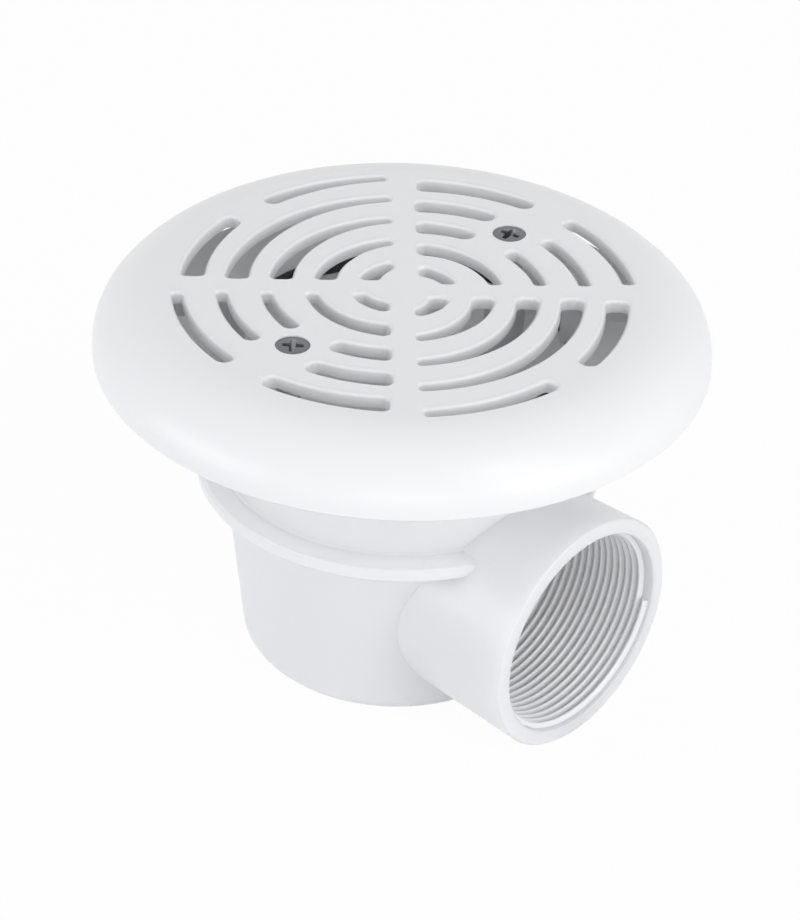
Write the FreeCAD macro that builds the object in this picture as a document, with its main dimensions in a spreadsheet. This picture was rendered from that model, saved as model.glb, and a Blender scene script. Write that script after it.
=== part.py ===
import FreeCAD, Part
import Sketcher
import math
import os

V = FreeCAD.Vector

# Pool main drain: a round sump with a threaded side outlet, closed by a domed grille cover.
# Frame: Z up along the drain's own axis, base plane at Z = 0, side outlet along +X,
# the two cover screws on +Y and -Y, and the four spokes of the grille at 45 degrees to both.

SIZES = [
    # cover, one moulding: flat slotted top, rolled rim, feet and screw bosses below
    ("total_z", 113.2), ("cover_r", 84.5), ("rim_width", 20.4), ("cover_wall", 3.8),
    ("rim_drop", 16.0), ("rim_skirt", 2.3), ("rim_edge_r", 12.0), ("lip_r", 0.8),
    ("foot_inside", 2.2), ("foot_outside", 3.6), ("rib_past_flat", 8.0), ("rib_drop", 9.2), ("rib_wall", 3.0),
    ("slot_margin", 3.8), ("slot_start_w", 6.4), ("slot_end_w", 2.6), ("slot_start_out", 0.3),
    ("slot_end_out", 2.6), ("spoke_half", 4.4), ("outer_spoke_half", 5.4), ("tail_reach", 1.5), ("slot_round", 1.1),
    ("gap_outer", 6.4), ("gap_fourth", 9.3), ("gap_third", 6.4),
    # screws and the threaded inserts that take them
    ("screw_inset", 2.7), ("head_r", 4.7), ("head_lip", 0.5), ("head_sink", 0.35), ("head_dome", 0.3),
    ("shank_r", 2.5), ("screw_clear", 0.3), ("screw_length", 27.0), ("cover_boss_r", 4.3),
    ("boss_gap", 2.4), ("insert_r", 3.6), ("insert_length", 9.0), ("insert_groove", 0.4),
    # sump, one moulding: flange, neck, puddle ring, tapered cup, side outlet
    ("seat_drop", 16.0), ("flange_gap", 3.7), ("flange_wall", 4.5), ("seal_in_r", 45.2), ("seal_wall", 1.7),
    ("seal_height", 4.5), ("neck_wall", 4.2), ("ring_reach", 6.9), ("ring_top_drop", 53.6),
    ("ring_wall", 4.6), ("cup_step", 0.6), ("cup_taper", 6.2), ("cup_corner", 5.7), ("cup_wall", 3.4),
    ("floor_wall", 3.0), ("well_corner", 4.0), ("web_edge", 5.6), ("web_drop", 17.0), ("web_wall", 3.0),
    ("post_r", 5.9), ("post_length", 22.0), ("edge_r", 1.0),
    ("outlet_past_ring", 14.3), ("outlet_bore_r", 29.7), ("outlet_wall", 4.6), ("outlet_draft", 1.1),
    ("outlet_lead", 0.4), ("outlet_edge", 0.8),
]

doc = FreeCAD.newDocument("pool_main_drain")
sheet = doc.addObject("Spreadsheet::Sheet", "sizes")
for row, (word, size) in enumerate(SIZES, start=1):
    sheet.set("A%d" % row, word)
    sheet.set("B%d" % row, str(size))
    sheet.setAlias("B%d" % row, word)
doc.recompute()


class Dim:
    """A size that knows both its number and the sheet expression that it comes from."""

    def __init__(self, number, text):
        self.number = float(number)
        self.text = text

    def __add__(self, other):
        return join(self, other, "+", self.number + num(other))

    def __radd__(self, other):
        return join(other, self, "+", num(other) + self.number)

    def __sub__(self, other):
        return join(self, other, "-", self.number - num(other))

    def __rsub__(self, other):
        return join(other, self, "-", num(other) - self.number)

    def __mul__(self, other):
        return join(self, other, "*", self.number * num(other))

    def __rmul__(self, other):
        return join(other, self, "*", num(other) * self.number)

    def __truediv__(self, other):
        return join(self, other, "/", self.number / num(other))


def num(value):
    return value.number if isinstance(value, Dim) else float(value)


def text(value):
    return value.text if isinstance(value, Dim) else "%g" % value


def join(left, right, sign, number):
    return Dim(number, "(%s %s %s)" % (text(left), sign, text(right)))


class Sizes:
    pass


S = Sizes()
for word, size in SIZES:
    setattr(S, word, Dim(size, "sizes.%s" % word))

# Levels and radii that more than one piece shares, all from the sizes above.
seat_z = S.total_z - S.seat_drop
ledge_z = seat_z - S.seal_height
flange_under_z = seat_z - S.flange_wall
seal_out_r = S.seal_in_r + S.seal_wall
neck_r = S.seal_in_r + S.neck_wall
ring_top_z = S.total_z - S.ring_top_drop
ring_under_z = ring_top_z - S.ring_wall
ring_r = neck_r + S.ring_reach
cup_top_r = neck_r - S.cup_step
cup_base_r = cup_top_r - S.cup_taper
outlet_r = S.outlet_bore_r + S.outlet_wall
outlet_z = outlet_r
outlet_reach = ring_r + S.outlet_past_ring
bore_start = cup_base_r * 0.78
post_z = ledge_z
screw_ring_r = S.seal_in_r - S.screw_inset
flat_r = S.cover_r - S.rim_width
flange_r = S.cover_r - S.cover_wall - S.flange_gap
web_r = flange_r - S.web_edge
ring_pitch = (flat_r - S.slot_margin) / 5
shank_hole_r = S.shank_r + S.screw_clear
cover_boss_drop = S.seat_drop - S.boss_gap


def plane(body, role):
    return [f for f in body.Origin.OriginFeatures if f.Role == role][0]


def bind(obj, prop, size):
    """Bind a property to its size in the sheet."""
    obj.setExpression(prop, text(size) if isinstance(size, Dim) else None)
    if not isinstance(size, Dim):
        setattr(obj, prop, size)


def new_body(name):
    body = doc.addObject("PartDesign::Body", name)
    body.Label = name
    return body


def sketch_on(body, name, role, offset=None):
    sketch = body.newObject("Sketcher::SketchObject", name)
    sketch.AttachmentSupport = [(plane(body, role), "")]
    sketch.MapMode = "FlatFace"
    if offset is not None:
        sketch.AttachmentOffset = offset
    return sketch


def hold(sketch, kind, geo, pos, size):
    """Hold one coordinate of a point at a size from the sheet, or on the axis where it is zero."""
    if not isinstance(size, Dim) and size == 0:
        axis = -2 if kind == "DistanceX" else -1
        sketch.addConstraint(Sketcher.Constraint("PointOnObject", geo, pos, axis))
        return
    index = sketch.addConstraint(Sketcher.Constraint(kind, -1, 1, geo, pos, num(size)))
    if isinstance(size, Dim):
        sketch.setExpression("Constraints[%d]" % index, size.text)


def outline(sketch, points):
    """Closed outline. A point is (x, y), or (x, y, radius, centre) when an arc leads to it:
    the centre only says on which side the arc bulges."""
    count = len(points)
    for i, point in enumerate(points):
        x0, y0 = num(points[i - 1][0]), num(points[i - 1][1])
        x1, y1 = num(point[0]), num(point[1])
        if len(point) == 2:
            sketch.addGeometry(Part.LineSegment(V(x0, y0, 0), V(x1, y1, 0)))
        else:
            cx, cy = num(point[3][0]), num(point[3][1])
            radius = num(point[2])
            a0, a1 = math.atan2(y0 - cy, x0 - cx), math.atan2(y1 - cy, x1 - cx)
            turn = (a1 - a0 + math.pi) % (2 * math.pi) - math.pi
            first, last = (a0, a0 + turn) if turn > 0 else (a1, a1 - turn)
            circle = Part.Circle(V(cx, cy, 0), V(0, 0, 1), radius)
            sketch.addGeometry(Part.ArcOfCircle(circle, first, last))

    def ends(i):
        """Which end of piece i is its start and which its finish."""
        point = points[i]
        if len(point) == 2:
            return 1, 2
        piece = sketch.Geometry[i]
        start = V(num(points[i - 1][0]), num(points[i - 1][1]), 0)
        return (1, 2) if piece.StartPoint.distanceToPoint(start) < 1e-3 else (2, 1)

    for i in range(count):
        after = (i + 1) % count
        sketch.addConstraint(Sketcher.Constraint("Coincident", i, ends(i)[1], after, ends(after)[0]))
    for i, point in enumerate(points):
        hold(sketch, "DistanceX", i, ends(i)[1], point[0])
        hold(sketch, "DistanceY", i, ends(i)[1], point[1])
        if len(point) == 4:
            index = sketch.addConstraint(Sketcher.Constraint("Radius", i, num(point[2])))
            if isinstance(point[2], Dim):
                sketch.setExpression("Constraints[%d]" % index, point[2].text)


def circles(sketch, items):
    """Circles, each (x, y, radius)."""
    for i, (x, y, radius) in enumerate(items):
        sketch.addGeometry(Part.Circle(V(num(x), num(y), 0), V(0, 0, 1), num(radius)))
        hold(sketch, "DistanceX", i, 3, x)
        hold(sketch, "DistanceY", i, 3, y)
        index = sketch.addConstraint(Sketcher.Constraint("Radius", i, num(radius)))
        sketch.setExpression("Constraints[%d]" % index, radius.text)


def turned(body, name, points, cut=False):
    """Revolve an outline of (radius, height) round the drain's axis."""
    sketch = sketch_on(body, name + "_sketch", "XZ_Plane")
    outline(sketch, points)
    kind = "PartDesign::Groove" if cut else "PartDesign::Revolution"
    feature = body.newObject(kind, name)
    feature.Profile = sketch
    feature.ReferenceAxis = (sketch, ["V_Axis"])
    feature.Angle = 360
    sketch.Visibility = False
    doc.recompute()
    return feature


def raised(body, name, items, from_z, length, down=False, cut=False):
    """Pad or pocket of circles drawn on a level plane."""
    sketch = sketch_on(body, name + "_sketch", "XY_Plane")
    sketch.setExpression("AttachmentOffset.Base.z", from_z.text)
    circles(sketch, items)
    feature = body.newObject("PartDesign::Pocket" if cut else "PartDesign::Pad", name)
    feature.Profile = sketch
    bind(feature, "Length", length)
    # a pad rises along the sketch's normal and a pocket cuts against it, unless reversed
    feature.Reversed = down if not cut else not down
    doc.recompute()
    return feature


def polar(body, name, feature, count):
    pattern = body.newObject("PartDesign::PolarPattern", name)
    pattern.Originals = [feature]
    pattern.Axis = (plane(body, "Z_Axis"), [""])
    pattern.Angle = 360
    pattern.Occurrences = count
    body.Tip = pattern
    doc.recompute()
    return pattern


def ring_edges(shape, wanted):
    """Names of the full-circle edges about the drain's axis at each (radius, height)."""
    names = []
    for i, edge in enumerate(shape.Edges, start=1):
        curve = edge.Curve
        if not isinstance(curve, Part.Circle) or abs(curve.Axis.z) < 0.999:
            continue
        if math.hypot(curve.Center.x, curve.Center.y) > 1e-3:
            continue
        for radius, height in wanted:
            if abs(curve.Radius - num(radius)) < 0.02 and abs(curve.Center.z - num(height)) < 0.02:
                names.append("Edge%d" % i)
    return names


def rounded(body, name, base, wanted, radius):
    """Fillet the named ring edges of the body."""
    feature = body.newObject("PartDesign::Fillet", name)
    feature.Base = (base, ring_edges(base.Shape, wanted))
    bind(feature, "Radius", radius)
    doc.recompute()
    return feature


def bevelled(body, name, base, wanted, size):
    """Bevel the named ring edges of the body."""
    feature = body.newObject("PartDesign::Chamfer", name)
    feature.Base = (base, ring_edges(base.Shape, wanted))
    bind(feature, "Size", size)
    doc.recompute()
    return feature


# Sump: the moulding that is set into the pool floor.
sump = new_body("sump_body")
shell = turned(sump, "sump_outside", [
    (0, 0),
    (cup_base_r, 0),
    (cup_top_r, ring_under_z),
    (ring_r, ring_under_z),
    (ring_r, ring_top_z),
    (neck_r, ring_top_z),
    (neck_r, flange_under_z),
    (flange_r, flange_under_z),
    (flange_r, seat_z),
    (0, seat_z),
])
rounded(sump, "cup_corner_round", shell, [(cup_base_r, 0)], S.cup_corner)
bevelled(sump, "flange_and_ring_edges", sump.Tip, [
    (ring_r, ring_under_z), (ring_r, ring_top_z), (flange_r, flange_under_z), (flange_r, seat_z),
    (neck_r, flange_under_z), (neck_r, ring_top_z), (cup_top_r, ring_under_z),
], S.edge_r)

# webs that carry the flange on the neck, hidden under the cover
web_sketch = sketch_on(sump, "web_sketch", "XZ_Plane",
                       FreeCAD.Placement(V(0, 0, 0), FreeCAD.Rotation(V(0, 1, 0), 22.5)))
outline(web_sketch, [
    (neck_r - S.neck_wall / 2, flange_under_z + S.flange_wall / 2),
    (neck_r - S.neck_wall / 2, flange_under_z - S.web_drop),
    (neck_r, flange_under_z - S.web_drop),
    (web_r, flange_under_z),
    (web_r, flange_under_z + S.flange_wall / 2),
])
web = sump.newObject("PartDesign::Pad", "web")
web.Profile = web_sketch
bind(web, "Length", S.web_wall)
web.Midplane = True
doc.recompute()
polar(sump, "webs", web, 8)

# outlet socket, slightly wider towards its mouth, whose outer edge is broken
socket = sump.newObject("PartDesign::AdditiveCone", "outlet_socket")
socket.AttachmentSupport = [(plane(sump, "YZ_Plane"), "")]
socket.MapMode = "FlatFace"
socket.setExpression("AttachmentOffset.Base.y", outlet_z.text)
bind(socket, "Radius1", outlet_r - S.outlet_draft * 2)
bind(socket, "Radius2", outlet_r)
bind(socket, "Height", outlet_reach - S.outlet_edge)
doc.recompute()
mouth_edge = sump.newObject("PartDesign::AdditiveCone", "outlet_mouth_edge")
mouth_edge.AttachmentSupport = [(plane(sump, "YZ_Plane"), "")]
mouth_edge.MapMode = "FlatFace"
mouth_edge.setExpression("AttachmentOffset.Base.y", outlet_z.text)
mouth_edge.setExpression("AttachmentOffset.Base.z", (outlet_reach - S.outlet_edge).text)
bind(mouth_edge, "Radius1", outlet_r)
bind(mouth_edge, "Radius2", outlet_r - S.outlet_edge)
bind(mouth_edge, "Height", S.outlet_edge)
doc.recompute()

# inside: mouth with the seal's rebate, straight neck and tapered well
well = turned(sump, "sump_inside", [
    (0, S.floor_wall),
    (cup_base_r - S.cup_wall, S.floor_wall),
    (S.seal_in_r, ring_top_z),
    (S.seal_in_r, ledge_z),
    (seal_out_r, ledge_z),
    (seal_out_r, seat_z),
    (0, seat_z),
], cut=True)
rounded(sump, "well_corner_round", well, [(cup_base_r - S.cup_wall, S.floor_wall)], S.well_corner)

# two posts on the inside wall, bored for the threaded inserts
pair = [(0, screw_ring_r, S.post_r), (0, -1 * screw_ring_r, S.post_r)]
raised(sump, "screw_posts", pair, post_z, S.post_length, down=True)
bores = [(0, screw_ring_r, S.insert_r), (0, -1 * screw_ring_r, S.insert_r)]
raised(sump, "insert_bores", bores, post_z, S.insert_length, down=True, cut=True)
taps = [(0, screw_ring_r, shank_hole_r), (0, -1 * screw_ring_r, shank_hole_r)]
raised(sump, "screw_run_outs", taps, post_z, S.post_length - 2.4, down=True, cut=True)

# outlet bore at the thread's root, with a lead-in cone at the mouth
bore = sump.newObject("PartDesign::SubtractiveCylinder", "outlet_bore")
bore.AttachmentSupport = [(plane(sump, "YZ_Plane"), "")]
bore.MapMode = "FlatFace"
bore.setExpression("AttachmentOffset.Base.y", outlet_z.text)
bore.setExpression("AttachmentOffset.Base.z", bore_start.text)
bind(bore, "Radius", S.outlet_bore_r)
bind(bore, "Height", outlet_reach - bore_start)
doc.recompute()
lead = sump.newObject("PartDesign::SubtractiveCone", "outlet_lead_in")
lead.AttachmentSupport = [(plane(sump, "YZ_Plane"), "")]
lead.MapMode = "FlatFace"
lead.setExpression("AttachmentOffset.Base.y", outlet_z.text)
lead.setExpression("AttachmentOffset.Base.z", (outlet_reach - S.outlet_lead).text)
bind(lead, "Radius1", S.outlet_bore_r)
bind(lead, "Radius2", S.outlet_bore_r + S.outlet_lead)
bind(lead, "Height", S.outlet_lead)
doc.recompute()

# Seal: the black rubber ring in the rebate of the mouth, under the cover's four feet.
seal = new_body("mouth_seal")
turned(seal, "seal_ring", [
    (S.seal_in_r, ledge_z), (seal_out_r, ledge_z), (seal_out_r, seat_z), (S.seal_in_r, seat_z),
])

# Inserts: brass, with a grip groove round the middle.
head_top_z = S.total_z - S.head_sink
thread_end_z = head_top_z - S.screw_length


def insert(name, side):
    body = new_body(name)
    body.Placement = FreeCAD.Placement(V(0, side * num(screw_ring_r), 0), FreeCAD.Rotation())
    body.setExpression("Placement.Base.y", (side * screw_ring_r).text)
    low, high = post_z - S.insert_length, post_z
    mid = post_z - S.insert_length / 2
    turned(body, name + "_turned", [
        (S.shank_r, low), (S.insert_r, low), (S.insert_r, mid - S.insert_groove),
        (S.insert_r - S.insert_groove, mid - S.insert_groove),
        (S.insert_r - S.insert_groove, mid + S.insert_groove),
        (S.insert_r, mid + S.insert_groove), (S.insert_r, high), (S.shank_r, high),
    ])
    return body


def screw(name, side):
    """Countersunk screw with a slightly raised head."""
    body = new_body(name)
    body.Placement = FreeCAD.Placement(V(0, side * num(screw_ring_r), 0), FreeCAD.Rotation())
    body.setExpression("Placement.Base.y", (side * screw_ring_r).text)
    cone_z = head_top_z - S.head_lip
    dome_r = (S.head_r * S.head_r + S.head_dome * S.head_dome) / (2 * S.head_dome)
    turned(body, name + "_turned", [
        (0, thread_end_z),
        (S.shank_r * 0.6, thread_end_z),
        (S.shank_r, thread_end_z + S.shank_r * 0.5),
        (S.shank_r, cone_z - (S.head_r - S.shank_r)),
        (S.head_r, cone_z),
        (S.head_r, head_top_z),
        (0, head_top_z + S.head_dome, dome_r, (0, head_top_z + S.head_dome - dome_r)),
    ])
    return body


insert("insert_left", 1)
insert("insert_right", -1)
screw("cover_screw_left", 1)
screw("cover_screw_right", -1)

# Cover shell: flat top, two tangent arcs down to a short upright skirt, one wall thickness.
shell_body = new_body("cover_shell")
roll_a = S.cover_r - flat_r - S.rim_edge_r
roll_b = S.rim_drop - S.rim_edge_r
roll_c = (roll_a * roll_a + roll_b * roll_b) / (2 * roll_b)
roll_r = roll_c + S.rim_edge_r
roll_centre = (flat_r, S.total_z - roll_r)
edge_centre = (S.cover_r - S.rim_edge_r, S.total_z - S.rim_drop)
sin_roll, cos_roll = roll_a / roll_c, (roll_c - roll_b) / roll_c
skirt_z = S.total_z - S.rim_drop - S.rim_skirt
inner_roll_r, inner_edge_r = roll_r - S.cover_wall, S.rim_edge_r - S.cover_wall
inner_r = S.cover_r - S.cover_wall
under_z = S.total_z - S.cover_wall
turned(shell_body, "cover_profile", [
    (0, S.total_z),
    (flat_r, S.total_z),
    (flat_r + roll_r * sin_roll, S.total_z - roll_r + roll_r * cos_roll, roll_r, roll_centre),
    (S.cover_r, S.total_z - S.rim_drop, S.rim_edge_r, edge_centre),
    (S.cover_r, skirt_z),
    (inner_r, skirt_z),
    (inner_r, S.total_z - S.rim_drop),
    (flat_r + inner_roll_r * sin_roll, S.total_z - roll_r + inner_roll_r * cos_roll,
     inner_edge_r, edge_centre),
    (flat_r, under_z, inner_roll_r, roll_centre),
    (0, under_z),
])
bevelled(shell_body, "cover_lip_edges", shell_body.Tip, [(S.cover_r, skirt_z), (inner_r, skirt_z)], S.lip_r)

# ribs under the four spokes, each with a foot that stands on the flange and presses the seal
rib_sketch = sketch_on(shell_body, "rib_sketch", "XZ_Plane",
                       FreeCAD.Placement(V(0, 0, 0), FreeCAD.Rotation(V(0, 1, 0), 45)))
mid_plate_z = S.total_z - S.cover_wall / 2
outline(rib_sketch, [
    (S.seal_in_r - S.foot_inside, mid_plate_z),
    (S.seal_in_r - S.foot_inside, seat_z),
    (seal_out_r + S.foot_outside, seat_z),
    (seal_out_r + S.foot_outside, S.total_z - S.rib_drop),
    (flat_r + S.rib_past_flat, S.total_z - S.rib_drop),
    (flat_r + S.rib_past_flat, mid_plate_z),
])
rib = shell_body.newObject("PartDesign::Pad", "rib")
rib.Profile = rib_sketch
bind(rib, "Length", S.rib_wall)
rib.Midplane = True
doc.recompute()
polar(shell_body, "ribs", rib, 4)

# bosses under the plate for the two screws, bored through, and countersunk from above
bosses = [(0, screw_ring_r, S.cover_boss_r), (0, -1 * screw_ring_r, S.cover_boss_r)]
raised(shell_body, "cover_bosses", bosses, mid_plate_z, cover_boss_drop - S.cover_wall / 2, down=True)
holes = [(0, screw_ring_r, shank_hole_r), (0, -1 * screw_ring_r, shank_hole_r)]
raised(shell_body, "screw_holes", holes, S.total_z, cover_boss_drop, down=True, cut=True)
for label, side in (("left", 1), ("right", -1)):
    wide = shell_body.newObject("PartDesign::SubtractiveCylinder", "head_recess_" + label)
    wide.AttachmentSupport = [(plane(shell_body, "XY_Plane"), "")]
    wide.MapMode = "FlatFace"
    wide.setExpression("AttachmentOffset.Base.y", (side * screw_ring_r).text)
    wide.setExpression("AttachmentOffset.Base.z", (head_top_z - S.head_lip).text)
    bind(wide, "Radius", S.head_r)
    bind(wide, "Height", S.head_lip + S.head_sink)
    doc.recompute()
    sink = shell_body.newObject("PartDesign::SubtractiveCone", "countersink_" + label)
    sink.AttachmentSupport = [(plane(shell_body, "XY_Plane"), "")]
    sink.MapMode = "FlatFace"
    sink.setExpression("AttachmentOffset.Base.y", (side * screw_ring_r).text)
    sink.setExpression("AttachmentOffset.Base.z", (head_top_z - S.head_lip - (S.head_r - S.shank_r)).text)
    bind(sink, "Radius1", S.shank_r)
    bind(sink, "Radius2", S.head_r)
    bind(sink, "Height", S.head_r - S.shank_r)
    doc.recompute()

# Slots: five rings of tapering arcs in each quadrant, wide where they start beside a spoke and
# narrow where they end at the next one clockwise, so the whole pattern turns like a pinwheel.
# An arc whose radius grows along its length fits no sketch constraint, so these cutters are built
# here from the sheet's sizes and handed to the document as one tool.


def slot_radii(ring, along):
    """Inner and outer radius of a ring's slot at a fraction of its way from start to end."""
    pitch = ring * num(ring_pitch)
    outer = pitch + (1 - along) * num(S.slot_start_out) + along * num(S.slot_end_out)
    width = (1 - along) * num(S.slot_start_w) + along * num(S.slot_end_w)
    return outer - width, outer


def point_at(radius, turn):
    return V(radius * math.cos(turn), radius * math.sin(turn), 0)


def slot_cutter(ring, quadrant, begin, finish):
    """Cutter for one slot. begin and finish are distances from a line through the axis:
    ('spoke', d) is d from the spoke's centre line, ('gap', d) is d from the quadrant's diagonal."""
    spoke_turn = math.radians(45 + 90 * quadrant)

    def end_angle(kind, distance, radius, first):
        swing = math.asin(distance / radius)
        if kind == "spoke":
            return swing if not first else math.pi / 2 - swing
        return math.pi / 4 + (swing if not first else -swing)

    def along(angle):
        return 1 - angle / (math.pi / 2)

    corners = []
    for kind, distance, first in ((begin[0], begin[1], True), (finish[0], finish[1], False)):
        inner, outer = slot_radii(ring, 0.0 if first else 1.0)
        if kind == "gap":
            inner, outer = slot_radii(ring, 0.5)
        for step in range(3):
            a_in = end_angle(kind, distance, inner, first)
            a_out = end_angle(kind, distance, outer, first)
            inner, outer = slot_radii(ring, along(a_in))[0], slot_radii(ring, along(a_out))[1]
        corners.append((inner, a_in, outer, a_out))
    (in0, ain0, out0, aout0), (in1, ain1, out1, aout1) = corners
    mid_in, mid_out = (ain0 + ain1) / 2, (aout0 + aout1) / 2
    inner_arc = Part.Arc(point_at(in0, ain0 + spoke_turn),
                         point_at(slot_radii(ring, along(mid_in))[0], mid_in + spoke_turn),
                         point_at(in1, ain1 + spoke_turn))
    outer_arc = Part.Arc(point_at(out0, aout0 + spoke_turn),
                         point_at(slot_radii(ring, along(mid_out))[1], mid_out + spoke_turn),
                         point_at(out1, aout1 + spoke_turn))
    wire = Part.Wire(Part.__sortEdges__([
        inner_arc.toShape(), outer_arc.toShape(),
        Part.makeLine(point_at(in0, ain0 + spoke_turn), point_at(out0, aout0 + spoke_turn)),
        Part.makeLine(point_at(in1, ain1 + spoke_turn), point_at(out1, aout1 + spoke_turn))]))
    depth = num(S.cover_wall) + 2
    solid = Part.Face(wire).extrude(V(0, 0, depth))
    solid.translate(V(0, 0, num(S.total_z) - num(S.cover_wall) - 1))
    for inner, outer, turn, kind in ((in0, out0, (ain0 + aout0) / 2, begin[0]),
                                     (in1, out1, (ain1 + aout1) / 2, finish[0])):
        radius = (outer - inner) * (0.46 if kind == "gap" else 0.32)
        corner_edges = []
        for edge in solid.Edges:
            ends = [v.Point for v in edge.Vertexes]
            if len(ends) != 2 or abs(ends[0].z - ends[1].z) < 1:
                continue
            for r_near, a_near in ((inner, turn), (outer, turn)):
                spot = point_at(r_near, a_near + spoke_turn)
                if math.hypot(ends[0].x - spot.x, ends[0].y - spot.y) < (outer - inner) * 0.6 + 0.6:
                    corner_edges.append(edge)
                    break
        solid = solid.makeFillet(radius, corner_edges)
    return solid


def quadrant_cutters(quadrant, with_screw):
    tail_reach = num(S.tail_reach)
    splits = {5: num(S.gap_outer)}
    if with_screw:
        splits.update({4: num(S.gap_fourth), 3: num(S.gap_third)})
    cutters = []
    for ring in range(1, 6):
        edge = num(S.outer_spoke_half if ring == 5 else S.spoke_half)
        head, tail = ("spoke", edge), ("spoke", edge - tail_reach)
        if ring in splits:
            cutters.append(slot_cutter(ring, quadrant, head, ("gap", splits[ring])))
            cutters.append(slot_cutter(ring, quadrant, ("gap", splits[ring]), tail))
        else:
            cutters.append(slot_cutter(ring, quadrant, head, tail))
    return cutters


tools = []
for quadrant in range(4):
    tools += quadrant_cutters(quadrant, with_screw=quadrant in (0, 2))
slots = doc.addObject("Part::Feature", "slot_cutters")
slots.Shape = Part.makeCompound(tools)
pierced = doc.addObject("Part::Cut", "cover_pierced")
pierced.Base = shell_body
pierced.Tool = slots
doc.recompute()

# the slots' top edges are broken all round
cover = doc.addObject("Part::Chamfer", "cover")
cover.Label = "cover"
cover.Base = pierced
rims = []
for i, edge in enumerate(pierced.Shape.Edges, start=1):
    box = edge.BoundBox
    flat = abs(box.ZMin - num(S.total_z)) < 1e-4 and abs(box.ZMax - num(S.total_z)) < 1e-4
    whole = isinstance(edge.Curve, Part.Circle) and edge.isClosed()
    if flat and not whole:
        rims.append((i, num(S.slot_round), num(S.slot_round)))
cover.Edges = rims
doc.recompute()

NODES = [
    (sump, "sump_body"), (seal, "mouth_seal"), (cover, "cover"),
    (doc.getObject("insert_left"), "insert_left"), (doc.getObject("insert_right"), "insert_right"),
    (doc.getObject("cover_screw_left"), "cover_screw_left"),
    (doc.getObject("cover_screw_right"), "cover_screw_right"),
]

for obj in doc.Objects:
    if "Invalid" in obj.State or "Error" in obj.State:
        raise RuntimeError("%s: %s" % (obj.Name, obj.State))
for obj, name in NODES:
    shape = obj.Shape
    if shape.isNull() or not shape.isValid() or len(shape.Solids) != 1:
        raise RuntimeError("bad shape: %s" % name)

os.makedirs("parts", exist_ok=True)
for obj, name in NODES:
    obj.Shape.exportStep("parts/%s.step" % name)
    box = obj.Shape.BoundBox
    print("%-18s volume %9.1f mm3  x %.1f..%.1f  y %.1f..%.1f  z %.1f..%.1f" % (
        name, obj.Shape.Volume, box.XMin, box.XMax, box.YMin, box.YMax, box.ZMin, box.ZMax))
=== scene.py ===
import math

import bmesh
import bpy
import numpy as np
from mathutils import Matrix, Vector


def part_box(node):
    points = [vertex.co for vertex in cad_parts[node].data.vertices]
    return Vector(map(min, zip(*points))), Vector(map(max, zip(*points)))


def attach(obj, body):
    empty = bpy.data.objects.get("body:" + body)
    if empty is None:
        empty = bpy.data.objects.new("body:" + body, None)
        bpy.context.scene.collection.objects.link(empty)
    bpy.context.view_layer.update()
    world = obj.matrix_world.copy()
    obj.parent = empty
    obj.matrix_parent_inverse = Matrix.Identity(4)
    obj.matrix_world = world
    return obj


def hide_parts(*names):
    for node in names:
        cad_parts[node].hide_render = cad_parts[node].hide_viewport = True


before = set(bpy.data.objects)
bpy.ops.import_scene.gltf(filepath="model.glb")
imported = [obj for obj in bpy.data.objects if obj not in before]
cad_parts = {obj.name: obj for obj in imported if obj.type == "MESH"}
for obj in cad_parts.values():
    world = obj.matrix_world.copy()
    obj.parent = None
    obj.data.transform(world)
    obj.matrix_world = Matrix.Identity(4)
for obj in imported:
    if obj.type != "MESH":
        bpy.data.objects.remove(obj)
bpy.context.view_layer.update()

# ------------------------------------------------------------------ the sump
# The sump is one injection moulding in white ABS: mouth flange on eight webs, straight neck,
# puddle ring, tapered cup and side outlet. It is set in the pool floor and carries all the rest.


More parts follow.
